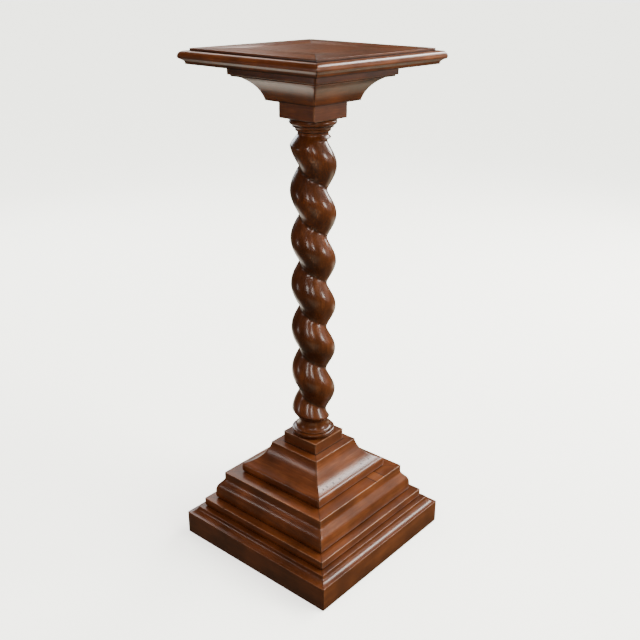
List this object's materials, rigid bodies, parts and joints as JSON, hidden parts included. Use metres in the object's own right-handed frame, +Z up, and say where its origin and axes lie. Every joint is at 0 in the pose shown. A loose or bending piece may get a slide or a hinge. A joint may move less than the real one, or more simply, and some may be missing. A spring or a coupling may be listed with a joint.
{
  "type": "barley twist pedestal",
  "caption": "Tall mahogany display pedestal: a stepped square moulded base, a turned column carved with a left-handed barley twist, and a moulded square top.",
  "frame": {"origin": "on the floor, under the middle of the base", "axes": "+Z up the column; the base's sides face X and Y"},
  "size_m": [0.4, 0.4, 1.045],
  "materials": {
    "moulded_mahogany": "French polished dark red-brown mahogany, with darker glaze in the quirks and paler worn arrises",
    "turned_mahogany": "glossy dark red-brown mahogany, turned and carved, with black glaze in the groove",
    "top_mahogany": "satin dark red-brown mahogany, flat, with the grain mitred at the corners"
  },
  "bodies": {
    "root": {"plinth_board": "moulded_mahogany", "step_board": "moulded_mahogany", "ogee_board": "moulded_mahogany", "cove_base": "moulded_mahogany", "column_plinth": "moulded_mahogany", "twist_column": "turned_mahogany", "neck_block": "moulded_mahogany", "capital_cove": "moulded_mahogany", "top_board": "moulded_mahogany", "top_rail_front": "top_mahogany", "top_rail_right": "top_mahogany", "top_rail_back": "top_mahogany", "top_rail_left": "top_mahogany", "top_field": "top_mahogany"}
  },
  "joints": []
}
